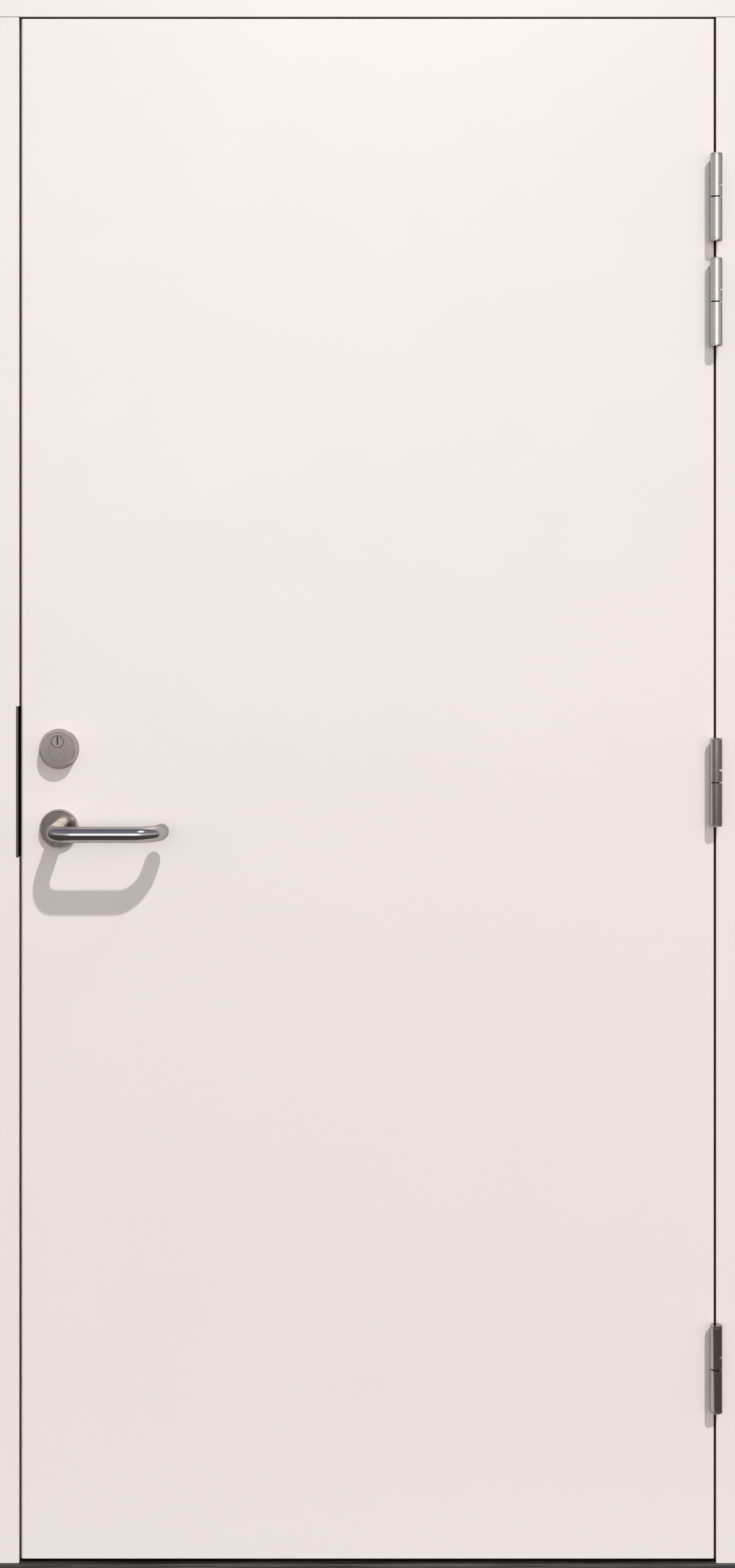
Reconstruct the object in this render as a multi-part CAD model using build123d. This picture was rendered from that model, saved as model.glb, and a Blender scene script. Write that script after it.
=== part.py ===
import os
from math import cos, radians, tan

from build123d import *

# Outer exterior door, outward opening, hinged on the right as seen from outside.
# +X is to the right and +Y goes inwards for someone outside, +Z is up.
# The origin is the middle of the threshold's underside. All sizes are in millimetres.

# Frame
frame_width = 990
frame_height = 2090
frame_depth = 115
jamb_face = 36
head_face = 34
stop_width = 15
arris = 1
threshold_height = 20.5
threshold_nose = 4
threshold_arris = 1.5

# Leaf
leaf_thickness = 62
side_gap = 3
top_gap = 2.5
bottom_gap = 6
lock_edge_bevel = 3
leaf_arris = 2.4
hinge_side_arris = 1
sheet_thickness = 4
lock_stile_width = 110
hinge_stile_width = 80
top_rail_height = 80
bottom_rail_height = 120

# Weather seals
seal_gap = 5
seal_width = 8
seal_base = 1.4
seal_stem = 2.6
seal_stem_depth = 5.5
seal_inset = 2
seal_clearance = 0.3
groove_clearance = 0.2

# Hinges: heights from the leaf's bottom and top edges
hinge_from_bottom = 254
hinge_from_middle = 9.5
hinge_from_top = 236.5
hinge_pair_pitch = 137.5
hinge_height = 116
knuckle_radius = 7.8
knuckle_standoff = 4.3
knuckle_gap = 1.8
knuckle_chamfer = 1.2
cap_height = 2.8
cap_groove = 0.9
notch_from_pin_axis = 2.5
notch_rise = 15.9
notch_height = 2.7
hinge_plate_height = 100
hinge_plate_thickness = 3
hinge_plate_depth = 40
hinge_plate_clearance = 0.2
pin_radius = 4
pin_clearance = 0.1
pin_half_length = 46

# Lock and its strike
backset = 50
handle_height = 987.5
cylinder_rise = 105
lock_centre_rise = 61.5
forend_height = 235
forend_width = 22
forend_thickness = 3
case_height = 200
case_depth = 85
case_thickness = 15
case_clearance = 0.3
latch_rise = 24
latch_height = 24
dead_bolt_rise = 64
dead_bolt_height = 30
bolt_width = 12
bolt_length = 40
bolt_clearance = 0.3
strike_height = 199
strike_depth = 52
strike_thickness = 2.9
strike_sink = 1
strike_corner = 8
strike_clearance = 0.2
strike_window_margin = 2
strike_pocket = 16

# Lever handles
rose_radius = 25.8
rose_front_radius = 24.3
rose_thickness = 7.8
rose_edge = 0.6
lever_radius = 10.3
lever_projection = 76
lever_length = 137.5
neck_bend = 26
return_bend = 30
tip_projection = 36.4
neck_start = 2
neck_clearance = 0.15
spindle_side = 8
spindle_clearance = 0.1
spindle_grip = 30
spindle_hole_radius = 7

# Lock cylinder, ring and thumb turn
ring_base_radius = 26.6
ring_front_radius = 22
ring_projection = 16.8
ring_edge = 0.6
oval_width = 21
oval_height = 36
oval_lift = 2.9
oval_clearance = 0.2
oval_depth = 30
plug_radius = 8
plug_clearance = 0.3
plug_length = 36
plug_rim = 0.6
keyway_width = 2
keyway_above = 7.2
keyway_below = 4
keyway_depth = 25
tail_width = 7
tail_thickness = 3
tail_hole_radius = 6
turn_hub_radius = 11
turn_hub_length = 8
turn_wing_length = 38
turn_wing_width = 9
turn_wing_depth = 17
turn_clearance = 0.3

# Fixing holes through each jamb, behind the leaf's edge
fixing_hole_radius = 7
fixing_from_end = 120
fixing_from_middle = 350

# Planes and edges that the pieces share
front = -frame_depth / 2
back = frame_depth / 2
leaf_front = front
leaf_back = leaf_front + leaf_thickness
core_front = leaf_front + sheet_thickness
core_back = leaf_back - sheet_thickness
stop_front = leaf_back + seal_gap
outside = frame_width / 2
rebate = outside - jamb_face
stop_edge = rebate - stop_width
leaf_edge = rebate - side_gap
head_bottom = frame_height - head_face
leaf_bottom = threshold_height + bottom_gap
leaf_top = head_bottom - top_gap
leaf_middle = (leaf_bottom + leaf_top) / 2
hinge_x = rebate - side_gap / 2
hinge_y = front - knuckle_standoff - knuckle_radius
hinge_levels = (
    leaf_bottom + hinge_from_bottom,
    leaf_middle + hinge_from_middle,
    leaf_top - hinge_from_top - hinge_pair_pitch,
    leaf_top - hinge_from_top,
)
lock_x = -leaf_edge + backset
lock_y = leaf_front + leaf_thickness / 2
lock_level = handle_height + lock_centre_rise
latch_level = handle_height + latch_rise
dead_bolt_level = handle_height + dead_bolt_rise
ring_level = handle_height + cylinder_rise
oval_level = ring_level + oval_lift
plug_level = oval_level + (oval_height - oval_width) / 2
bevel_run = tan(radians(lock_edge_bevel))
strike_floor = -rebate - strike_sink - strike_thickness
head_seal_level = head_bottom - seal_inset - seal_width / 2
threshold_seal_level = threshold_height + seal_inset + seal_width / 2
lock_stile_inside = -leaf_edge + lock_stile_width
hinge_stile_inside = leaf_edge - hinge_stile_width
fixing_levels = (
    threshold_height + fixing_from_end,
    leaf_middle - fixing_from_middle,
    leaf_middle + fixing_from_middle,
    head_bottom - fixing_from_end,
)


def slab(x_low, x_high, y_low, y_high, z_low, z_high):
    # A box between two corners
    size = Box(x_high - x_low, y_high - y_low, z_high - z_low)
    return Pos((x_low + x_high) / 2, (y_low + y_high) / 2, (z_low + z_high) / 2) * size


def prism(points, z_low, z_high):
    # An upright prism on a plan outline
    outline = make_face(Polyline(*points, close=True))
    return extrude(Pos(0, 0, z_low) * outline, z_high - z_low)


def rod(radius, x, z, y_low, y_high):
    # A round bar along Y
    bar = Cylinder(radius, y_high - y_low)
    return Pos(x, (y_low + y_high) / 2, z) * Rot(90, 0, 0) * bar


def oval_bar(width, height, x, z, y_low, y_high):
    # A bar along Y with round ends above and below a straight waist
    rise = (height - width) / 2
    waist = slab(x - width / 2, x + width / 2, y_low, y_high, z - rise, z + rise)
    upper = rod(width / 2, x, z + rise, y_low, y_high)
    lower = rod(width / 2, x, z - rise, y_low, y_high)
    return waist + upper + lower


def turned(points, x, y, z, way):
    # A turned piece: radius and projection pairs spun about an axis along Y
    outline = make_face(Polyline(*[(r, 0, p) for r, p in points], close=True))
    spun = revolve(outline, Axis.Z)
    return Pos(x, y, z) * Rot(-90 * way, 0, 0) * spun


def lock_edge_at(y):
    # The leaf's lock edge slopes back so that it clears the jamb as it swings
    return -leaf_edge + (y - leaf_front) * bevel_run


def on_lock_edge(piece):
    # Places a piece drawn against the plane x = 0 on the sloping lock edge
    return Pos(lock_edge_at(lock_y), lock_y, 0) * Rot(0, 0, -lock_edge_bevel) * piece


def seal_profile(margin):
    # The seal's section: a stem for the groove, a base and a round bulb toward the leaf.
    # The first axis runs along the stop's face, the second from the stop to the leaf.
    half_stem = seal_stem / 2 + margin
    stem_end = -seal_stem_depth - margin
    stem = Pos(0, stem_end / 2) * Rectangle(half_stem * 2, -stem_end)
    return stem


def seal_bulb():
    reach = seal_gap - seal_clearance
    half = seal_width / 2
    bulb = Polyline((-half, 0), (-half, seal_base)) + ThreePointArc(
        (-half, seal_base), (0, reach), (half, seal_base)
    ) + Polyline((half, seal_base), (half, 0), (-half, 0))
    return make_face(bulb)


def upright_seal(section, side, z_low, z_high):
    x = side * (rebate - seal_inset - seal_width / 2)
    place = Plane((x, stop_front, z_low), x_dir=(-1, 0, 0), z_dir=(0, 0, 1))
    return extrude(place * section, z_high - z_low)


def level_seal(section, z):
    place = Plane((-stop_edge, stop_front, z), x_dir=(0, 0, 1), z_dir=(1, 0, 0))
    return extrude(place * section, stop_edge * 2)


def jamb(side):
    # L-shaped post with the stop behind the leaf, standing on the threshold
    outline = [
        (outside, front),
        (rebate, front),
        (rebate, stop_front),
        (stop_edge, stop_front),
        (stop_edge, back),
        (outside, back),
    ]
    section = make_face(Polyline(*[(side * x, y) for x, y in outline], close=True))
    corners = [v for v in section.vertices() if abs(v.Y - stop_front) > arris or abs(v.X) < rebate - arris]
    section = fillet([v for v in corners if abs(v.X) < outside - arris], arris)
    post = extrude(Pos(0, 0, threshold_height) * section, head_bottom - threshold_height)
    post -= upright_seal(seal_profile(groove_clearance), side, threshold_height, head_bottom)
    for level in fixing_levels:
        hole = Rot(0, 90, 0) * Cylinder(fixing_hole_radius, jamb_face)
        post -= Pos(side * (rebate + jamb_face / 2), lock_y, level) * hole
    return post


def strike_outline(grow):
    # Plan of the strike plate on the jamb's side: square at the front, round at the back
    corner = strike_corner + grow
    plate = Rectangle(strike_depth + grow, strike_height + 2 * grow)
    plate = Pos(front + (strike_depth + grow) / 2, lock_level) * plate
    rear = plate.vertices().sort_by(Axis.X)[2:]
    return fillet(rear, corner)


def strike_block(grow, x_low, x_high):
    face = Plane((x_low, 0, 0), x_dir=(0, 1, 0), z_dir=(1, 0, 0)) * strike_outline(grow)
    return extrude(face, x_high - x_low)


def strike_windows(x_low, x_high):
    # Openings for the latch and the dead bolt
    half = bolt_width / 2 + strike_window_margin
    windows = None
    for level, height in ((latch_level, latch_height), (dead_bolt_level, dead_bolt_height)):
        reach = height / 2 + strike_window_margin
        hole = slab(x_low, x_high, lock_y - half, lock_y + half, level - reach, level + reach)
        windows = hole if windows is None else windows + hole
    return windows


def left_jamb():
    post = jamb(-1)
    post -= strike_block(strike_clearance, strike_floor, -rebate)
    post -= strike_windows(strike_floor - strike_pocket, strike_floor)
    return post


def strike_plate():
    plate = strike_block(0, strike_floor, strike_floor + strike_thickness)
    return plate - strike_windows(strike_floor, strike_floor + strike_thickness)


def hinge_mortise(x_low, x_high, level):
    half = hinge_plate_height / 2 + hinge_plate_clearance
    depth = front + hinge_plate_depth + hinge_plate_clearance
    return slab(x_low, x_high, front, depth, level - half, level + half)


def right_jamb():
    post = jamb(1)
    for level in hinge_levels:
        post -= hinge_mortise(rebate, rebate + hinge_plate_thickness, level)
    return post


def head():
    beam = slab(-outside, outside, front, back, head_bottom, frame_height)
    lower_front = [
        e
        for e in beam.edges().filter_by(Axis.X)
        if e.center().Z < frame_height - arris and e.center().Y < 0
    ]
    beam = fillet(lower_front, arris)
    stop = slab(-stop_edge, stop_edge, stop_front, back, head_bottom - stop_width, head_bottom)
    beam += stop
    return beam - level_seal(seal_profile(groove_clearance), head_seal_level)


def threshold():
    # Board under both jambs, standing out a little in front, with a raised stop behind the leaf
    board = slab(-outside, outside, front - threshold_nose, back, 0, threshold_height)
    nose = board.edges().filter_by(Axis.X).sort_by(Axis.Y)[:2].sort_by(Axis.Z)[-1]
    board = fillet(nose, threshold_arris)
    stop = slab(-stop_edge, stop_edge, stop_front, back, threshold_height, threshold_height + stop_width)
    ridge = stop.edges().filter_by(Axis.X).sort_by(Axis.Z)[-2:]
    board += fillet(ridge, threshold_arris)
    return board - level_seal(seal_profile(groove_clearance), threshold_seal_level)


def upright_seal_piece(side):
    stem = upright_seal(seal_profile(0), side, threshold_height, head_bottom)
    return stem + upright_seal(seal_bulb(), side, threshold_height, head_bottom)


def level_seal_piece(level):
    return level_seal(seal_profile(0), level) + level_seal(seal_bulb(), level)


def leaf_layer(x_high, y_low, y_high, z_low, z_high):
    # A layer of the leaf from the sloping lock edge to a square edge
    outline = [
        (lock_edge_at(y_low), y_low),
        (x_high, y_low),
        (x_high, y_high),
        (lock_edge_at(y_high), y_high),
    ]
    return prism(outline, z_low, z_high)


def hinge_cuts(x_low):
    cuts = hinge_mortise(x_low, leaf_edge, hinge_levels[0])
    for level in hinge_levels[1:]:
        cuts += hinge_mortise(x_low, leaf_edge, level)
    return cuts


def lock_cuts(y_low, y_high):
    # Ways through the leaf for the spindle, the cylinder and the tail bar
    cuts = rod(spindle_hole_radius, lock_x, handle_height, y_low, y_high)
    cuts += rod(tail_hole_radius, lock_x, plug_level, y_low, y_high)
    oval_end = leaf_front + oval_depth + oval_clearance
    if y_low < oval_end:
        width = oval_width + 2 * oval_clearance
        height = oval_height + 2 * oval_clearance
        cuts += oval_bar(width, height, lock_x, oval_level, y_low, min(y_high, oval_end))
    return cuts


def case_block(grow, depth_grow):
    # The lock's body, drawn against the plane x = 0 and reaching into the leaf
    half = case_thickness / 2 + grow
    reach = case_height / 2 + grow
    return on_lock_edge(
        slab(
            forend_thickness,
            forend_thickness + case_depth + depth_grow,
            -half,
            half,
            lock_level - reach,
            lock_level + reach,
        )
    )


def forend_block(grow):
    half = forend_width / 2 + grow
    reach = forend_height / 2 + grow
    return on_lock_edge(
        slab(0, forend_thickness, -half, half, lock_level - reach, lock_level + reach)
    )


def arris_cut(corner, inward, size):
    # The sloping arris along one upright edge of the leaf's outer face
    points = [
        (corner, leaf_front),
        (corner + inward * size, leaf_front),
        (corner, leaf_front + size),
    ]
    return prism(points[::inward], leaf_bottom, leaf_top)


def outer_face():
    sheet = leaf_layer(leaf_edge, leaf_front, core_front, leaf_bottom, leaf_top)
    sheet -= arris_cut(-leaf_edge, 1, leaf_arris)
    sheet -= arris_cut(leaf_edge, -1, hinge_side_arris)
    sheet -= hinge_cuts(leaf_edge - hinge_plate_thickness)
    return sheet - lock_cuts(leaf_front, core_front)


def inner_face():
    sheet = leaf_layer(leaf_edge, core_back, leaf_back, leaf_bottom, leaf_top)
    upright = sheet.edges().filter_by(Axis.Z).group_by(Axis.Y)[-1]
    sheet = fillet(upright, leaf_arris)
    return sheet - lock_cuts(core_back, leaf_back)


def lock_stile():
    stile = leaf_layer(lock_stile_inside, core_front, core_back, leaf_bottom, leaf_top)
    stile -= case_block(case_clearance, case_clearance)
    stile -= forend_block(case_clearance)
    return stile - lock_cuts(core_front, core_back)


def hinge_stile():
    stile = slab(hinge_stile_inside, leaf_edge, core_front, core_back, leaf_bottom, leaf_top)
    return stile - hinge_cuts(leaf_edge - hinge_plate_thickness)


def rail(z_low, z_high):
    return slab(lock_stile_inside, hinge_stile_inside, core_front, core_back, z_low, z_high)


def bolt(level, height, grow):
    # A bolt withdrawn flush with the forend
    half = bolt_width / 2 + grow
    reach = height / 2 + grow
    return on_lock_edge(slab(0, bolt_length + grow, -half, half, level - reach, level + reach))


def lock_forend():
    plate = forend_block(0)
    plate -= bolt(latch_level, latch_height, bolt_clearance)
    return plate - bolt(dead_bolt_level, dead_bolt_height, bolt_clearance)


def lock_case():
    box = case_block(0, 0)
    box -= bolt(latch_level, latch_height, bolt_clearance)
    box -= bolt(dead_bolt_level, dead_bolt_height, bolt_clearance)
    through = (lock_y - case_thickness, lock_y + case_thickness)
    return box - lock_cuts(*through)


def frame_hinge(level):
    # Lower knuckle and the plate let into the jamb
    half = hinge_plate_height / 2
    x_low = rebate
    x_high = rebate + hinge_plate_thickness
    plate = slab(x_low, x_high, front, front + hinge_plate_depth, level - half, level + half)
    top = level - knuckle_gap / 2
    bottom = level - hinge_height / 2
    web = slab(x_low, x_high, hinge_y, front, level - half, top)
    knuckle = knuckle_barrel(bottom, top, bottom)
    bore = Cylinder(pin_radius + pin_clearance, pin_half_length)
    bore = Pos(hinge_x, hinge_y, level - pin_half_length / 2) * bore
    return plate + web + knuckle - bore


def leaf_hinge(level):
    # Upper knuckle, notched on its outer side, and the plate let into the leaf's edge
    half = hinge_plate_height / 2
    x_low = leaf_edge - hinge_plate_thickness
    plate = slab(x_low, leaf_edge, front, front + hinge_plate_depth, level - half, level + half)
    bottom = level + knuckle_gap / 2
    top = level + hinge_height / 2
    web = slab(x_low, leaf_edge, hinge_y, front, bottom, level + half)
    knuckle = knuckle_barrel(bottom, top, top)
    bore_length = pin_half_length + pin_clearance
    bore = Cylinder(pin_radius + pin_clearance, bore_length)
    bore = Pos(hinge_x, hinge_y, level + bore_length / 2) * bore
    notch_level = level + notch_rise
    notch = slab(
        hinge_x + notch_from_pin_axis,
        hinge_x + knuckle_radius,
        hinge_y - knuckle_radius,
        hinge_y + knuckle_radius,
        notch_level - notch_height / 2,
        notch_level + notch_height / 2,
    )
    return plate + web + knuckle - bore - notch


def knuckle_barrel(z_low, z_high, cap_end):
    # A knuckle with a chamfered cap at its outer end, set off by a fine groove
    barrel = Pos(hinge_x, hinge_y, (z_low + z_high) / 2) * Cylinder(knuckle_radius, z_high - z_low)
    rims = barrel.edges().filter_by(GeomType.CIRCLE)
    barrel = chamfer([e for e in rims if abs(e.center().Z - cap_end) < cap_groove], knuckle_chamfer)
    inward = 1 if cap_end == z_low else -1
    ring = Cylinder(knuckle_radius, cap_groove) - Cylinder(knuckle_radius - cap_groove, cap_groove)
    return barrel - Pos(hinge_x, hinge_y, cap_end + inward * cap_height) * ring


def hinge_pin(level):
    return Pos(hinge_x, hinge_y, level) * Cylinder(pin_radius, 2 * pin_half_length)


def rose(hole, level, face, way):
    # A disc with a sloping side, a small land at its foot and a broken front edge
    outline = [
        (hole, 0),
        (rose_radius, 0),
        (rose_radius, rose_edge),
        (rose_front_radius, rose_thickness - rose_edge),
        (rose_front_radius - rose_edge, rose_thickness),
        (hole, rose_thickness),
    ]
    return turned(outline, lock_x, face, level, way)


def lever(face, way):
    # Round bar: out from the rose, along the door, and back towards it with a round end
    def at(along, out):
        return (lock_x + along, face + way * out, handle_height)

    slant = cos(radians(45))
    neck_top = lever_projection - neck_bend
    neck_middle = at(neck_bend * (1 - slant), neck_top + neck_bend * slant)
    back_start = lever_length - return_bend
    back_top = lever_projection - return_bend
    back_middle = at(back_start + return_bend * slant, back_top + return_bend * slant)
    path = Line(at(0, neck_start), at(0, neck_top))
    path += ThreePointArc(at(0, neck_top), neck_middle, at(neck_bend, lever_projection))
    path += Line(at(neck_bend, lever_projection), at(back_start, lever_projection))
    path += ThreePointArc(at(back_start, lever_projection), back_middle, at(lever_length, back_top))
    path += Line(at(lever_length, back_top), at(lever_length, tip_projection))
    start = Plane(at(0, neck_start), z_dir=(0, way, 0))
    bar = sweep(start * Circle(lever_radius), path=path)
    bar += Pos(*at(lever_length, tip_projection)) * Sphere(lever_radius)
    side = spindle_side + 2 * spindle_clearance
    ends = sorted((face + way * neck_start, face + way * (neck_start + spindle_grip)))
    x_low = lock_x - side / 2
    z_low = handle_height - side / 2
    return bar - slab(x_low, x_low + side, *ends, z_low, z_low + side)


def spindle():
    half = spindle_side / 2
    reach = neck_start + spindle_grip - spindle_clearance
    return slab(
        lock_x - half,
        lock_x + half,
        leaf_front - reach,
        leaf_back + reach,
        handle_height - half,
        handle_height + half,
    )


def cylinder_ring():
    outline = [
        (0, 0),
        (ring_base_radius, 0),
        (ring_base_radius - ring_edge, 2 * ring_edge),
        (ring_front_radius + ring_edge, ring_projection - ring_edge),
        (ring_front_radius, ring_projection),
        (0, ring_projection),
    ]
    ring = turned(outline, lock_x, leaf_front, ring_level, -1)
    width = oval_width + 2 * oval_clearance
    height = oval_height + 2 * oval_clearance
    return ring - oval_bar(width, height, lock_x, oval_level, leaf_front - ring_projection, leaf_front)


def cylinder_body():
    nose = leaf_front - ring_projection
    body = oval_bar(oval_width, oval_height, lock_x, oval_level, nose, leaf_front + oval_depth)
    body -= rod(plug_radius + plug_clearance, lock_x, plug_level, nose, nose + plug_length + plug_clearance)
    return body - rod(tail_hole_radius, lock_x, plug_level, nose, leaf_front + oval_depth)


def cylinder_plug():
    nose = leaf_front - ring_projection
    plug = rod(plug_radius, lock_x, plug_level, nose, nose + plug_length)
    front_rim = plug.edges().filter_by(GeomType.CIRCLE).sort_by(Axis.Y)[0]
    plug = chamfer(front_rim, plug_rim)
    half = keyway_width / 2
    return plug - slab(
        lock_x - half,
        lock_x + half,
        nose,
        nose + keyway_depth,
        plug_level - keyway_below,
        plug_level + keyway_above,
    )


def tail_bar():
    plug_end = leaf_front - ring_projection + plug_length
    turn_end = leaf_back + rose_thickness
    half = tail_width / 2
    return slab(
        lock_x - tail_thickness / 2,
        lock_x + tail_thickness / 2,
        plug_end,
        turn_end,
        plug_level - half,
        plug_level + half,
    )


def thumb_turn():
    # Hub in the rose with an upright wing to grip
    hub_end = leaf_back + rose_thickness + turn_hub_length
    hub = rod(turn_hub_radius, lock_x, plug_level, leaf_back + neck_start, hub_end)
    wing_end = hub_end + turn_wing_depth
    wing = oval_bar(turn_wing_width, turn_wing_length, lock_x, plug_level, hub_end, wing_end)
    half = tail_width / 2 + spindle_clearance
    thin = tail_thickness / 2 + spindle_clearance
    slot = slab(
        lock_x - thin,
        lock_x + thin,
        leaf_back,
        leaf_back + rose_thickness + spindle_clearance,
        plug_level - half,
        plug_level + half,
    )
    return hub + wing - slot


pieces = {
    "left_jamb": left_jamb(),
    "right_jamb": right_jamb(),
    "head": head(),
    "threshold": threshold(),
    "left_seal": upright_seal_piece(-1),
    "right_seal": upright_seal_piece(1),
    "head_seal": level_seal_piece(head_seal_level),
    "threshold_seal": level_seal_piece(threshold_seal_level),
    "strike_plate": strike_plate(),
    "outer_face": outer_face(),
    "inner_face": inner_face(),
    "lock_stile": lock_stile(),
    "hinge_stile": hinge_stile(),
    "top_rail": rail(leaf_top - top_rail_height, leaf_top),
    "bottom_rail": rail(leaf_bottom, leaf_bottom + bottom_rail_height),
    "insulation_core": rail(leaf_bottom + bottom_rail_height, leaf_top - top_rail_height),
    "lock_forend": lock_forend(),
    "lock_case": lock_case(),
    "latch_bolt": bolt(latch_level, latch_height, 0),
    "dead_bolt": bolt(dead_bolt_level, dead_bolt_height, 0),
    "outer_rose": rose(lever_radius + neck_clearance, handle_height, leaf_front, -1),
    "inner_rose": rose(lever_radius + neck_clearance, handle_height, leaf_back, 1),
    "outer_lever": lever(leaf_front, -1),
    "inner_lever": lever(leaf_back, 1),
    "spindle": spindle(),
    "cylinder_ring": cylinder_ring(),
    "cylinder_body": cylinder_body(),
    "cylinder_plug": cylinder_plug(),
    "tail_bar": tail_bar(),
    "turn_rose": rose(turn_hub_radius + turn_clearance, plug_level, leaf_back, 1),
    "thumb_turn": thumb_turn(),
}
for number, level in enumerate(hinge_levels, 1):
    pieces[f"frame_hinge_{number}"] = frame_hinge(level)
    pieces[f"leaf_hinge_{number}"] = leaf_hinge(level)
    pieces[f"hinge_pin_{number}"] = hinge_pin(level)

os.makedirs("parts", exist_ok=True)
for name, piece in pieces.items():
    export_step(piece, f"parts/{name}.step")
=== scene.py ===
import math

import bpy
import numpy as np
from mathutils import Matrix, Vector


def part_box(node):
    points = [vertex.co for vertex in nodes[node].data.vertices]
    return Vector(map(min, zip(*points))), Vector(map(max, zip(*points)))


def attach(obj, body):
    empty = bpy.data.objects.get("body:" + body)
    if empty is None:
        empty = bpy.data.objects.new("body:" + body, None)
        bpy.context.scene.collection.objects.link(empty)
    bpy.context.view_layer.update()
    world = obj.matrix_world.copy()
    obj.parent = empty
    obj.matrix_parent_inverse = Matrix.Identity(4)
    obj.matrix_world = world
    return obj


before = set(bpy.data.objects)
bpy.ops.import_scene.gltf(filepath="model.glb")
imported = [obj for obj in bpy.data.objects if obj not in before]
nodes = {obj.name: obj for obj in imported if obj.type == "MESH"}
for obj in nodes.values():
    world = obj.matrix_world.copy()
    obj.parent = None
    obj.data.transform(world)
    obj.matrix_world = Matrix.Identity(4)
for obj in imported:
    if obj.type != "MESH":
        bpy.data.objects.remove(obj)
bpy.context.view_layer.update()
scene = bpy.context.scene
print("frame loaded:", len(nodes), "nodes")


def middle(node):
    low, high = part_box(node)
    return (low + high) / 2


# places read from the frame, in metres
leafLow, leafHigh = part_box("outer_face")
faceY = leafLow.y  # outer face of the leaf, towards the camera
pinLow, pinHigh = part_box("hinge_pin_1")
jambX = pinLow.x + pinHigh.x - leafHigh.x  # the pin stands over the middle of the gap
jambLow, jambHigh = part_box("right_jamb")
thresholdTop, headUnder = jambLow.z, jambHigh.z
roseCentre, turnCentre = middle("outer_rose"), middle("turn_rose")
ringCentre, plugCentre = middle("cylinder_ring"), middle("cylinder_plug")
hinges = (1, 2, 3, 4)
hingeLevels = [middle(f"hinge_pin_{n}").z for n in hinges]

camera = {
    "distance": 3.0,  # from the face of the leaf
    "height": 1.304,
    "frameMiddle": 1.0462,  # height of the picture's middle on that face
    "frameHeight": 2.0645,  # how much of that face the picture's height takes in
    "sensor": 36.0,
}


def makeCamera():
    data = bpy.data.cameras.new("doorCamera")
    data.sensor_width = camera["sensor"]
    data.lens = camera["sensor"] * camera["distance"] / camera["frameHeight"]
    data.shift_y = (camera["frameMiddle"] - camera["height"]) / camera["frameHeight"]
    obj = bpy.data.objects.new("doorCamera", data)
    obj.location = (0, faceY - camera["distance"], camera["height"])
    obj.rotation_euler = (math.radians(90), 0, 0)  # level, looking along +Y
    scene.collection.objects.link(obj)
    scene.camera = obj


makeCamera()
scene.view_settings.view_transform = "Standard"
print("camera", camera["distance"], "m from the leaf")

keySun = {"travel": (-0.43, 1, -1.29), "strength": 2.17, "angle": 1.2, "colour": (1.0, 1.0, 1.0)}
frontFill = {"travel": (-0.25, 1, -0.35), "strength": 0.25, "angle": 150, "colour": (1.0, 0.97, 0.955)}
backFill = {"travel": (0.2, -1, -0.5), "strength": 1.6, "angle": 150, "colour": (1.0, 1.0, 1.0)}
topLamp = {  # pale glow on the top of the leaf, from the upper right
    "place": (0.65, -0.85, 2.95),
    "aim": (-0.20, -0.06, 2.08),
    "size": (0.4, 0.3),
    "spread": 75,
    "power": 1.0,
    "colour": (0.86, 0.97, 0.93),
}
sideLamp = {
    "place": (1.6, -1.6, 1.25),
    "aim": (0.2, -0.06, 1.1),
    "size": (0.8, 1.6),
    "spread": 160,
    "power": 2.4,
    "colour": (1.0, 0.98, 0.97),
}


def placeLamp(name, light, travel, seenInMetal):
    lamp = bpy.data.objects.new(name, light)
    lamp.rotation_euler = Vector(travel).to_track_quat("-Z", "Y").to_euler()
    lamp.visible_glossy = seenInMetal
    scene.collection.objects.link(lamp)
    return lamp


def makeSun(name, values, seenInMetal):
    light = bpy.data.lights.new(name, "SUN")
    light.energy = values["strength"]
    light.angle = math.radians(values["angle"])
    light.color = values["colour"]
    placeLamp(name, light, values["travel"], seenInMetal)


def makePanel(name, values):
    light = bpy.data.lights.new(name, "AREA")
    light.shape = "RECTANGLE"
    light.size, light.size_y = values["size"]
    light.spread = math.radians(values["spread"])
    light.energy = values["power"]
    light.color = values["colour"]
    lamp = placeLamp(name, light, Vector(values["aim"]) - Vector(values["place"]), False)
    lamp.location = values["place"]


makeSun("keySun", keySun, True)
makeSun("frontFill", frontFill, False)
makeSun("backFill", backFill, False)
makePanel("topLamp", topLamp)
makePanel("sideLamp", sideLamp)


def feed(tree, node, inputs):  # sockets given as values or links
    for key, value in inputs.items():
        if isinstance(value, bpy.types.NodeSocket):
            tree.links.new(value, node.inputs[key])
        else:
            node.inputs[key].default_value = value


def add(tree, kind, inputs=None, **attributes):  # one shader node
    node = tree.nodes.new("ShaderNode" + kind)
    for key, value in attributes.items():
        setattr(node, key, value)
    feed(tree, node, inputs or {})
    return node


def mathNode(tree, operation, a, b=0.0):
    return add(tree, "Math", {0: a, 1: b}, operation=operation).outputs[0]


def vectorNode(tree, operation, a, b):
    return add(tree, "VectorMath", {0: a, 1: b}, operation=operation).outputs[0]


def smoothStep(tree, value, start, end):
    inputs = {0: value, 1: start, 2: end, 3: 0.0, 4: 1.0}
    return add(tree, "MapRange", inputs, interpolation_type="SMOOTHSTEP").outputs[0]


def fillRamp(ramp, stops):
    while len(ramp.elements) < len(stops):
        ramp.elements.new(0.5)
    for element, (place, colour) in zip(ramp.elements, stops):
        element.position = place
        element.color = (*colour, 1)


def newMaterial(name):
    material = bpy.data.materials.new(name)
    material.use_nodes = True
    tree = material.node_tree
    return material, tree, tree.nodes["Principled BSDF"], add(tree, "TexCoord").outputs["Object"]


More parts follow.
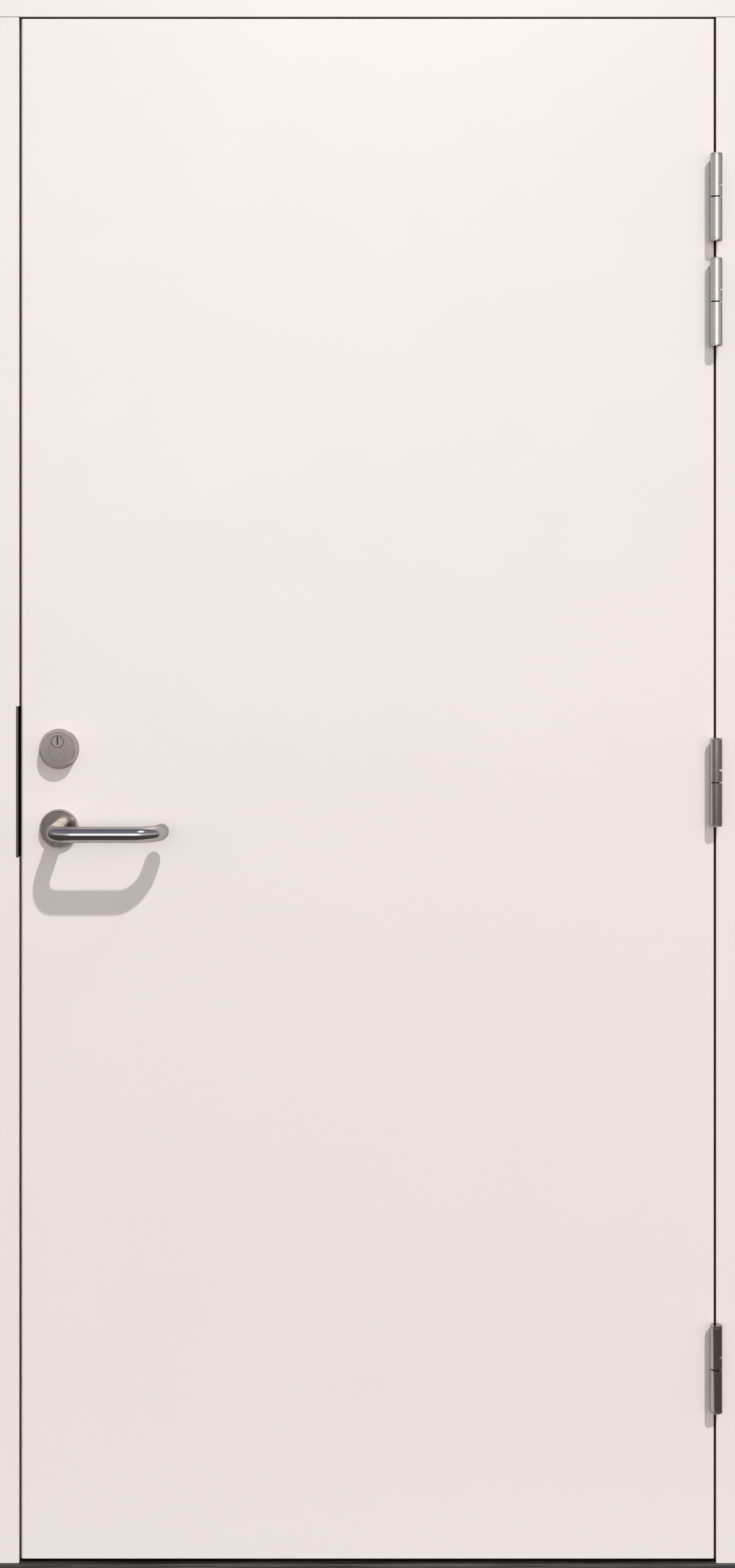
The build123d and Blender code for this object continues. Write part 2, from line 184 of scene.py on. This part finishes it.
studio = {
    "backdrop": (0.93, 0.93, 0.93),
    "behind": (0.55, 0.85),  # how far behind a direction points before metal shows the backdrop there
    "surround": [  # height of the direction from 0, straight down, to 1, straight up
        (0.0, (0.085, 0.072, 0.067)),
        (0.385, (0.120, 0.104, 0.097)),
        (0.44, (0.170, 0.157, 0.148)),
        (0.51, (0.33, 0.31, 0.31)),
        (0.625, (0.33, 0.32, 0.33)),
        (0.75, (0.28, 0.28, 0.35)),
        (0.875, (0.24, 0.24, 0.33)),
        (1.0, (0.20, 0.20, 0.26)),
    ],
}
window = {  # soft window in front of the door, by the parts of a direction along X, Y and Z
    "foot": (-0.066, 0.004),
    "top": (0.05, 0.50),
    "middle": -0.01,
    "lobes": [(0.18, 2.7), (0.45, 0.7), (1.3, 0.70)],  # width and strength
    "ahead": (-0.25, 0.2),  # how far a direction points to the front before the window shows
}


def windowGlow(tree, way):  # bell curves across, times a rise at the foot and a slow fall at the top
    glow = 0.0
    aside = mathNode(tree, "SUBTRACT", way["X"], window["middle"])
    for width, strength in window["lobes"]:
        share = mathNode(tree, "POWER", mathNode(tree, "DIVIDE", aside, width), 2.0)
        bell = mathNode(tree, "EXPONENT", mathNode(tree, "MULTIPLY", share, -1.0))
        glow = mathNode(tree, "ADD", mathNode(tree, "MULTIPLY", bell, strength), glow)
    rise = smoothStep(tree, way["Z"], *window["foot"])
    fall = smoothStep(tree, way["Z"], *window["top"])
    height = mathNode(tree, "SUBTRACT", rise, fall)
    ahead = smoothStep(tree, mathNode(tree, "MULTIPLY", way["Y"], -1.0), *window["ahead"])
    return mathNode(tree, "MULTIPLY", glow, mathNode(tree, "MULTIPLY", height, ahead))


def makeWorld():  # a dim surround and a window for light and reflections, and a white backdrop behind
    world = bpy.data.worlds.new("studio")
    world.use_nodes = True
    tree = world.node_tree
    tree.nodes.clear()
    way = add(tree, "SeparateXYZ", {0: add(tree, "TexCoord").outputs["Generated"]}).outputs
    share = add(tree, "MapRange", {0: way["Z"], 1: -1.0, 2: 1.0})
    ramp = add(tree, "ValToRGB", {0: share.outputs[0]})
    fillRamp(ramp.color_ramp, studio["surround"])
    light = vectorNode(tree, "ADD", ramp.outputs["Color"], windowGlow(tree, way))
    surround = add(tree, "Background", {"Color": light})
    backdrop = add(tree, "Background", {"Color": (*studio["backdrop"], 1)})
    path = add(tree, "LightPath").outputs
    mirrored = mathNode(tree, "MAXIMUM", path["Is Glossy Ray"], path["Is Transmission Ray"])
    behind = mathNode(tree, "MULTIPLY", mirrored, smoothStep(tree, way["Y"], *studio["behind"]))
    seen = mathNode(tree, "MAXIMUM", path["Is Camera Ray"], behind)
    both = add(tree, "MixShader", {0: seen, 1: surround.outputs[0], 2: backdrop.outputs[0]})
    add(tree, "OutputWorld", {"Surface": both.outputs[0]})
    scene.world = world


makeWorld()


def gridFaces(rows, columns, closed=False):  # quads of a grid of points, rows by columns
    last = columns if closed else columns - 1
    r, c = np.meshgrid(np.arange(rows - 1), np.arange(last), indexing="ij")
    a = (r * columns + c).ravel()
    b = (r * columns + (c + 1) % columns).ravel()
    return np.stack([a, a + columns, b + columns, b], axis=1)


def makeMesh(name, points, faces):
    mesh = bpy.data.meshes.new(name)
    mesh.from_pydata(points.reshape(-1, 3).tolist(), [], [list(f) for f in faces])
    mesh.polygons.foreach_set("use_smooth", np.ones(len(mesh.polygons), bool))
    mesh.update()
    obj = bpy.data.objects.new(name, mesh)
    scene.collection.objects.link(obj)
    return obj


stageFloor = {
    "colour": (0.66, 0.645, 0.63),
    "bounce": (0.12, 0.115, 0.11),
    "rough": 0.9,
    "reach": (1.1, 0.6),
    "fade": 0.45,  # share of the reach where it starts to fade
    "rings": (0.001, 0.5, 1.0),
    "spokes": 64,
    "level": -0.0005,
}


def makeFloor(values):  # an oval that fades into the backdrop: x = width r cos a, y = depth r sin a
    width, depth = values["reach"]
    angles = np.linspace(0, 2 * np.pi, values["spokes"], endpoint=False)
    r, a = np.meshgrid(np.array(values["rings"]), angles, indexing="ij")
    level = np.full_like(r, values["level"])
    points = np.stack([width * r * np.cos(a), depth * r * np.sin(a), level], axis=-1)
    floor = makeMesh("floor", points, gridFaces(len(values["rings"]), values["spokes"], True))
    material, tree, shader, place = newMaterial("floorPale")
    shader.inputs["Roughness"].default_value = values["rough"]
    bounced = add(tree, "LightPath").outputs["Is Diffuse Ray"]  # pale to look at, dull as a bounce
    tones = {0: bounced, 6: (*values["colour"], 1), 7: (*values["bounce"], 1)}
    tree.links.new(add(tree, "Mix", tones, data_type="RGBA").outputs[2], shader.inputs["Base Color"])
    oval = vectorNode(tree, "MULTIPLY", place, (1 / width, 1 / depth, 0))
    distance = add(tree, "VectorMath", {0: oval}, operation="LENGTH").outputs["Value"]
    fade = mathNode(tree, "SUBTRACT", 1.0, smoothStep(tree, distance, values["fade"], 1.0))
    tree.links.new(fade, shader.inputs["Alpha"])
    floor.data.materials.append(material)


makeFloor(stageFloor)
print("lamps, surround and floor ready")


def newGroup(name, inputs, outputs):
    tree = bpy.data.node_groups.new(name, "ShaderNodeTree")
    for label, kind in inputs:
        tree.interface.new_socket(label, in_out="INPUT", socket_type="NodeSocket" + kind)
    for label, kind in outputs:
        tree.interface.new_socket(label, in_out="OUTPUT", socket_type="NodeSocket" + kind)
    return tree, tree.nodes.new("NodeGroupInput").outputs, tree.nodes.new("NodeGroupOutput").inputs


def useGroup(tree, group, inputs):
    node = tree.nodes.new("ShaderNodeGroup")
    node.node_tree = group
    feed(tree, node, inputs)
    return node.outputs


def noise(tree, vector, scale, detail, **more):
    inputs = {"Vector": vector, "Scale": scale, "Detail": detail, **more}
    return add(tree, "TexNoise", inputs).outputs["Fac"]


def centred(tree, value, reach):  # a noise value of 0 to 1 turned into -reach to +reach
    away = mathNode(tree, "SUBTRACT", value, 0.5)
    return mathNode(tree, "MULTIPLY", away, mathNode(tree, "MULTIPLY", reach, 2.0))


def tinted(tree, colour, change):  # colour times one plus the change
    inputs = {0: colour, "Scale": mathNode(tree, "ADD", change, 1.0)}
    return add(tree, "VectorMath", inputs, operation="SCALE").outputs[0]


sprayed = {"cloud": 5.0, "wave": 11.0, "waveShare": 2.5, "peelRough": 0.04, "waveRough": 0.05}


def paintSkinGroup():  # sprayed paint: fine orange peel over a slow wave, with faint cloudy tone
    tree, given, result = newGroup(
        "paintSkin",
        [("Vector", "Vector"), ("Colour", "Color"), ("Mottle", "Float"), ("Peel", "Float"),
         ("Roughness", "Float")],
        [("Colour", "Color"), ("Roughness", "Float"), ("Height", "Float")],
    )
    cloud = noise(tree, given["Vector"], sprayed["cloud"], 3.0)
    wave = noise(tree, given["Vector"], sprayed["wave"], 1.0)
    peel = noise(tree, given["Vector"], given["Peel"], 2.0)
    tree.links.new(tinted(tree, given["Colour"], centred(tree, cloud, given["Mottle"])), result["Colour"])
    rough = mathNode(tree, "ADD", given["Roughness"], centred(tree, peel, sprayed["peelRough"]))
    rough = mathNode(tree, "ADD", rough, centred(tree, wave, sprayed["waveRough"]))
    tree.links.new(rough, result["Roughness"])
    swell = mathNode(tree, "MULTIPLY", wave, sprayed["waveShare"])
    tree.links.new(mathNode(tree, "ADD", peel, swell), result["Height"])
    return tree


brushed = {"lineFine": 0.65, "lineRough": 0.03, "patch": 90.0, "patchShade": 0.025, "patchRough": 0.012}


def steelBrushGroup():  # brushed steel: fine lines across the stretched vector, and slow patches
    tree, given, result = newGroup(
        "steelBrush",
        [("Vector", "Vector"), ("Place", "Vector"), ("Colour", "Color"), ("Contrast", "Float"),
         ("Roughness", "Float")],
        [("Colour", "Color"), ("Roughness", "Float"), ("Height", "Float")],
    )
    lines = noise(tree, given["Vector"], 1.0, 4.0, Roughness=brushed["lineFine"])
    patch = noise(tree, given["Place"], brushed["patch"], 2.0)
    shade = centred(tree, lines, given["Contrast"])
    shade = mathNode(tree, "ADD", shade, centred(tree, patch, brushed["patchShade"]))
    tree.links.new(tinted(tree, given["Colour"], shade), result["Colour"])
    rough = mathNode(tree, "ADD", given["Roughness"], centred(tree, lines, brushed["lineRough"]))
    rough = mathNode(tree, "ADD", rough, centred(tree, patch, brushed["patchRough"]))
    tree.links.new(rough, result["Roughness"])
    tree.links.new(lines, result["Height"])
    return tree


paintSkin, steelBrush = paintSkinGroup(), steelBrushGroup()


def turnedLines(tree, place, centre, lines):
    # coordinates round an axis along Y: radius and depth added, then the cosine and sine of the angle
    offset = vectorNode(tree, "SUBTRACT", place, centre)
    flat = vectorNode(tree, "MULTIPLY", offset, (1, 0, 1))
    radius = add(tree, "VectorMath", {0: flat}, operation="LENGTH").outputs["Value"]
    unit = add(tree, "VectorMath", {0: flat}, operation="NORMALIZE").outputs[0]
    way = add(tree, "SeparateXYZ", {0: unit}).outputs
    depth = add(tree, "SeparateXYZ", {0: offset}).outputs["Y"]
    across = mathNode(tree, "MULTIPLY", mathNode(tree, "ADD", radius, depth), lines)
    return add(tree, "CombineXYZ", {0: across, 1: way["X"], 2: way["Z"]}).outputs[0]


def dress(tree, shader, colour, rough, height, relief):  # colour, roughness and relief into the shader
    tree.links.new(colour, shader.inputs["Base Color"])
    tree.links.new(rough, shader.inputs["Roughness"])
    bump = add(tree, "Bump", {"Height": height, "Distance": relief, "Strength": 1.0})
    tree.links.new(bump.outputs[0], shader.inputs["Normal"])


leafPaint = {"colour": (0.846, 0.787, 0.733), "mottle": 0.006, "peel": 620.0, "rough": 0.36, "ior": 1.5,
             "relief": 0.000003}
# the frame paint carries a painted shade line at the height of the head's underside, where the head meets
# the jambs
framePaint = {"colour": (0.846, 0.787, 0.733), "mottle": 0.008, "peel": 480.0, "rough": 0.38, "ior": 1.5,
              "relief": 0.000004, "joint": headUnder, "jointShadeHalf": 0.0007, "jointShade": 0.72}


def makePaint(name, values):
    material, tree, shader, place = newMaterial(name)
    skin = useGroup(tree, paintSkin, {
        "Vector": place,
        "Colour": (*values["colour"], 1),
        "Mottle": values["mottle"],
        "Peel": values["peel"],
        "Roughness": values["rough"],
    })
    colour = skin["Colour"]
    if "joint" in values:  # painted shade: the paint is darkened in a thin line where the head lies on the jambs, for the shade in that joint
        height = add(tree, "SeparateXYZ", {0: place}).outputs["Z"]
        away = mathNode(tree, "ABSOLUTE", mathNode(tree, "SUBTRACT", height, values["joint"]))
        shadeLine = mathNode(tree, "SUBTRACT", 1.0, smoothStep(tree, away, 0.0, values["jointShadeHalf"]))
        colour = tinted(tree, colour, mathNode(tree, "MULTIPLY", shadeLine, -values["jointShade"]))
    dress(tree, shader, colour, skin["Roughness"], skin["Height"], values["relief"])
    shader.inputs["IOR"].default_value = values["ior"]
    return material


plainEdge = (0.8, 0.78, 0.76)  # tint of steel seen at a slant, where a finish names none
hingeSteel = {"colour": (0.51, 0.482, 0.470), "edge": (0.64, 0.60, 0.54), "contrast": 0.04,
              "rough": 0.13, "relief": 0.000003, "lines": (2600, 2600, 30)}
leverSteel = {"colour": (0.50, 0.49, 0.485), "edge": (0.60, 0.56, 0.52), "contrast": 0.05,
              "rough": 0.13, "relief": 0.000001, "lines": (25, 1800, 1800)}
lockSteel = {"colour": (0.50, 0.48, 0.46), "contrast": 0.12,
             "rough": 0.33, "relief": 0.000003, "lines": (1600, 1600, 25)}
strikeSteel = {"colour": (0.14, 0.122, 0.110), "contrast": 0.14,
               "rough": 0.36, "relief": 0.000003, "lines": (1600, 1600, 30)}
# steel pins coloured nearly black as painted shade, so that the slits between the knuckles read dark
pinShadeSteel = {"colour": (0.06, 0.058, 0.056), "contrast": 0.10,
            "rough": 0.45, "relief": 0.000002, "lines": (900, 900, 30)}
screwSteel = {"colour": (0.58, 0.56, 0.54), "contrast": 0.12,
              "rough": 0.26, "relief": 0.000003, "lines": (900, 900, 900)}
roseSteel = {"colour": (0.48, 0.436, 0.405), "contrast": 0.05,
             "rough": 0.13, "relief": 0.000001, "turned": 5200}
ringSteel = {"colour": (0.455, 0.415, 0.39), "contrast": 0.06,
             "rough": 0.13, "relief": 0.000001, "turned": 4400}


def makeSteel(name, values, centre=None):  # straight brushing, or turned about a centre
    material, tree, shader, place = newMaterial(name)
    shader.inputs["Metallic"].default_value = 1.0
    shader.inputs["Specular Tint"].default_value = (*values.get("edge", plainEdge), 1)
    if centre is None:
        lines = vectorNode(tree, "MULTIPLY", place, values["lines"])
    else:
        lines = turnedLines(tree, place, centre, values["turned"])
    skin = useGroup(tree, steelBrush, {
        "Vector": lines,
        "Place": place,
        "Colour": (*values["colour"], 1),
        "Contrast": values["contrast"],
        "Roughness": values["rough"],
    })
    dress(tree, shader, skin["Colour"], skin["Roughness"], skin["Height"], values["relief"])
    return material


sealRubber = {
    "colour": (0.15, 0.10, 0.042),
    "streak": (900, 900, 12),
    "vary": 0.25,
    "rough": 0.62,
    "roughVary": 0.1,
    "relief": 0.00002,
}


def makeRubber(name, values):  # dull extruded rubber, faintly streaked upwards
    material, tree, shader, place = newMaterial(name)
    grain = noise(tree, vectorNode(tree, "MULTIPLY", place, values["streak"]), 1.0, 3.0)
    colour = tinted(tree, values["colour"], centred(tree, grain, values["vary"]))
    rough = mathNode(tree, "ADD", values["rough"], centred(tree, grain, values["roughVary"]))
    dress(tree, shader, colour, rough, grain, values["relief"])
    return material


thresholdWood = {
    "stops": [(0.34, (0.010, 0.0085, 0.007)), (0.5, (0.026, 0.022, 0.019)), (0.68, (0.075, 0.066, 0.058))],
    "grain": (9, 420, 420),
    "grainBend": 0.6,
    "pores": (60, 2400, 2400),
    "poreShare": 0.18,
    "rough": 0.55,
    "roughVary": 0.12,
    "relief": 0.00012,
}


def makeWood(name, values):  # dark stained hardwood, grain along X
    material, tree, shader, place = newMaterial(name)
    run = vectorNode(tree, "MULTIPLY", place, values["grain"])
    grain = noise(tree, run, 1.0, 5.0, Distortion=values["grainBend"])
    pores = noise(tree, vectorNode(tree, "MULTIPLY", place, values["pores"]), 1.0, 2.0)
    both = mathNode(tree, "ADD", grain, centred(tree, pores, values["poreShare"]))
    ramp = add(tree, "ValToRGB", {0: both})
    fillRamp(ramp.color_ramp, values["stops"])
    rough = mathNode(tree, "ADD", values["rough"], centred(tree, pores, values["roughVary"]))
    dress(tree, shader, ramp.outputs["Color"], rough, both, values["relief"])
    return material


coreFoam = {"colour": (0.80, 0.74, 0.58), "cell": 700.0, "vary": 0.15, "rough": 0.9}


def makeFoam(name, values):
    material, tree, shader, place = newMaterial(name)
    cell = add(tree, "TexVoronoi", {"Vector": place, "Scale": values["cell"]}).outputs["Distance"]
    colour = tinted(tree, values["colour"], centred(tree, cell, values["vary"]))
    tree.links.new(colour, shader.inputs["Base Color"])
    shader.inputs["Roughness"].default_value = values["rough"]
    return material


materials = {
    "leaf": makePaint("leafPaint", leafPaint),
    "frame": makePaint("framePaint", framePaint),
    "hinge": makeSteel("hingeSteel", hingeSteel),
    "pin": makeSteel("pinShadeSteel", pinShadeSteel),
    "lever": makeSteel("leverSteel", leverSteel),
    "lock": makeSteel("lockSteel", lockSteel),
    "strike": makeSteel("strikeSteel", strikeSteel),
    "screw": makeSteel("screwSteel", screwSteel),
    "rose": makeSteel("roseSteel", roseSteel, roseCentre),
    "turnRose": makeSteel("turnRoseSteel", roseSteel, turnCentre),
    "ring": makeSteel("ringSteel", ringSteel, ringCentre),
    "plug": makeSteel("plugSteel", ringSteel, plugCentre),
    "rubber": makeRubber("sealRubber", sealRubber),
    "wood": makeWood("thresholdWood", thresholdWood),
    "foam": makeFoam("coreFoam", coreFoam),
}
wears = {
    "leaf": ["outer_face", "inner_face", "lock_stile", "hinge_stile", "top_rail", "bottom_rail"],
    "frame": ["left_jamb", "right_jamb", "head"],
    "wood": ["threshold"],
    "rubber": ["left_seal", "right_seal", "head_seal", "threshold_seal"],
    "hinge": [f"{half}_hinge_{n}" for half in ("frame", "leaf") for n in hinges],
    "pin": [f"hinge_pin_{n}" for n in hinges],
    "lever": ["outer_lever", "inner_lever"],
    "rose": ["outer_rose", "inner_rose"],
    "turnRose": ["turn_rose", "thumb_turn"],
    "ring": ["cylinder_ring", "cylinder_body"],
    "plug": ["cylinder_plug"],
    "strike": ["strike_plate"],
    "lock": ["lock_forend", "lock_case", "latch_bolt", "dead_bolt", "spindle", "tail_bar"],
    "foam": ["insulation_core"],
}
for finish, names in wears.items():
    for name in names:
        nodes[name].data.materials.clear()
        nodes[name].data.materials.append(materials[finish])
print("finishes on", sum(len(v) for v in wears.values()), "nodes")


def finishPiece(obj, finish, body):
    obj.data.materials.append(materials[finish])
    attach(obj, body)
    print("made", obj.name, len(obj.data.polygons), "faces")


# painted shade: dark rubber strips set deep in the gaps round the leaf, so that the gaps read dark
gapShadeStrip = {
    "start": 0.009,  # behind the leaf's face; the sun reaches the paint before it
    "startHinge": 0.0012,
    "startHead": 0.003,
    "end": 0.021,
    "proud": 0.0005,
    "ribs": 5,
    "rib": 0.00012,
    "taper": 0.001,  # length of each run's end
    "clear": 0.0015,  # from the plates let into a jamb
    "across": 41,
}


def makeShadeStrip(name, runs, near, place, winding):
    # s runs across the strip from -1 to 1; the height over the paint is a flat dome proud * (1 - s^8),
    # with a cosine rib on top, and falls to nothing at each run's ends
    s = np.linspace(-1, 1, gapShadeStrip["across"])
    ribs = gapShadeStrip["rib"] * (np.cos(gapShadeStrip["ribs"] * 2 * np.pi * s) - 1)
    dome = (gapShadeStrip["proud"] + ribs) * (1 - s ** 8)
    height = np.array([0, 1, 1, 0.0])[:, None] * dome[None, :]
    depth = np.broadcast_to(faceY + near + (gapShadeStrip["end"] - near) * (s + 1) / 2, height.shape)
    points, faces = [], []
    for low, high in runs:
        stations = np.array([low, low + gapShadeStrip["taper"], high - gapShadeStrip["taper"], high])
        along = np.broadcast_to(stations[:, None], height.shape)
        faces.append(gridFaces(len(stations), len(s))[:, ::winding] + len(points) * height.size)
        points.append(np.stack(place(height, depth, along), axis=-1).reshape(-1, 3))
    piece = makeMesh(name, np.concatenate(points), np.concatenate(faces))
    finishPiece(piece, "rubber", "frame")


def sideRuns(plates):  # lengths of a jamb's strip between the plates let into it
    ends = [thresholdTop]
    for low, high in sorted(plates):
        ends += [low - gapShadeStrip["clear"], high + gapShadeStrip["clear"]]
    ends.append(headUnder - gapShadeStrip["clear"])
    return list(zip(ends[::2], ends[1::2]))


hingePlate = {
    "half": 0.050,  # of its height
    "screws": [(0.040, 0.013), (0.014, 0.028), (-0.014, 0.013), (-0.040, 0.028)],  # rise and depth
}
strikeLow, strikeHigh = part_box("strike_plate")
leftRuns = sideRuns([(strikeLow.z, strikeHigh.z)])
rightRuns = sideRuns([(z - hingePlate["half"], z + hingePlate["half"]) for z in hingeLevels])
headRuns = [(-jambX, jambX)]
# painted shade strips in the lock-side gap, in the hinge-side gap and under the head
makeShadeStrip("left_gap_shade_strip", leftRuns, gapShadeStrip["start"], lambda h, y, t: (h - jambX, y, t), -1)
makeShadeStrip("right_gap_shade_strip", rightRuns, gapShadeStrip["startHinge"], lambda h, y, t: (jambX - h, y, t), 1)
makeShadeStrip("head_gap_shade_strip", headRuns, gapShadeStrip["startHead"], lambda h, y, t: (t, y, headUnder - h), -1)


def polarGrid(rings, spokes):  # radius 0 to 1 and angle, one point in the middle
    radii = np.linspace(0, 1, rings + 1)[1:]
    angles = np.linspace(0, 2 * np.pi, spokes, endpoint=False)
    r, a = np.meshgrid(radii, angles, indexing="ij")
    r, a = np.append(0, r.ravel()), np.append(0, a.ravel())
    k = np.arange(spokes)
    fan = np.stack([np.zeros(spokes, int), 1 + k, 1 + (k + 1) % spokes], axis=1)
    return r, a, fan, gridFaces(rings, spokes, True) + 1


def scatter(name, local, fan, quads, places, normals, spins):
    # copies of a shape drawn about its own axis, each on a place, along a normal and turned by its spin
    n = np.asarray(normals, float)
    n /= np.linalg.norm(n, axis=1, keepdims=True)
    helper = np.where(np.abs(n[:, 2:]) > 0.9, [[1.0, 0, 0]], [[0, 0, 1.0]])
    t = np.cross(helper, n)
    t /= np.linalg.norm(t, axis=1, keepdims=True)
    b = np.cross(n, t)
    c, s = np.cos(spins)[:, None], np.sin(spins)[:, None]
    u, v = t * c + b * s, b * c - t * s
    points = (
        np.asarray(places, float)[:, None, :]
        + local[None, :, :1] * u[:, None, :]
        + local[None, :, 1:2] * v[:, None, :]
        + local[None, :, 2:] * n[:, None, :]
    )
    shift = (np.arange(len(n)) * len(local))[:, None, None]
    triangles = (fan[None] + shift).reshape(-1, 3).tolist()
    return makeMesh(name, points, triangles + (quads[None] + shift).reshape(-1, 4).tolist())


screw = {
    "radius": 0.0042,
    "dome": 0.00035,
    "slotLong": 0.0024,
    "slotWide": 0.0008,
    "slotDeep": 0.0011,
    "slotEnd": 0.0004,  # length of the slope at an arm's end
    "slotSide": 0.00025,  # width of the slope at an arm's side
    "sink": 0.0002,
    "rings": 22,
    "spokes": 64,
}


def screwShape():
    # height over the plate at radius r: a low dome times (1 - r^2), less a cross recess whose two arms
    # have straight slopes at their ends and sides; the outer ring of points dips under the plate
    r, a, fan, quads = polarGrid(screw["rings"], screw["spokes"])
    x, y = screw["radius"] * r * np.cos(a), screw["radius"] * r * np.sin(a)

    def arm(p, q):
        along = np.clip((screw["slotLong"] - np.abs(p)) / screw["slotEnd"], 0, 1)
        across = np.clip((screw["slotWide"] / 2 - np.abs(q)) / screw["slotSide"] + 0.5, 0, 1)
        return along * across

    cross = np.maximum(arm(x, y), arm(y, x))
    rim = np.where(r > 1 - 0.5 / screw["rings"], screw["sink"], 0)
    height = screw["dome"] * (1 - r ** 2) - screw["slotDeep"] * cross - rim
    return np.stack([x, y, height], axis=1), fan, quads


def makeScrews(name, places, normal, body, seed):
    shape, fan, quads = screwShape()
    spins = np.random.default_rng(seed).uniform(0, np.pi / 2, len(places))
    piece = scatter(name, shape, fan, quads, places, [normal] * len(places), spins)
    finishPiece(piece, "screw", body)


def plateScrews(x):
    return [(x, faceY + depth, z + rise) for z in hingeLevels for rise, depth in hingePlate["screws"]]


makeScrews("leaf_hinge_screws", plateScrews(leafHigh.x), (1, 0, 0), "leaf", seed=3)
makeScrews("frame_hinge_screws", plateScrews(jambX), (-1, 0, 0), "frame", seed=5)

forend = {"bevel": math.radians(3), "inset": 0.008}
forendLow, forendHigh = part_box("lock_forend")
bevelCos, bevelSin = math.cos(forend["bevel"]), math.sin(forend["bevel"])
forendX = forendLow.x + (forendHigh.y - forendLow.y) / 2 * bevelSin
forendY = (forendLow.y + forendHigh.y) / 2
forendLevels = (forendLow.z + forend["inset"], forendHigh.z - forend["inset"])
forendPlaces = [(forendX, forendY, z) for z in forendLevels]
makeScrews("forend_screws", forendPlaces, (-bevelCos, bevelSin, 0), "leaf", seed=7)

strike = {"inset": 0.014, "depth": 0.026}
strikeLevels = (strikeLow.z + strike["inset"], strikeHigh.z - strike["inset"])
strikePlaces = [(strikeHigh.x, faceY + strike["depth"], z) for z in strikeLevels]
makeScrews("strike_screws", strikePlaces, (1, 0, 0), "frame", seed=9)
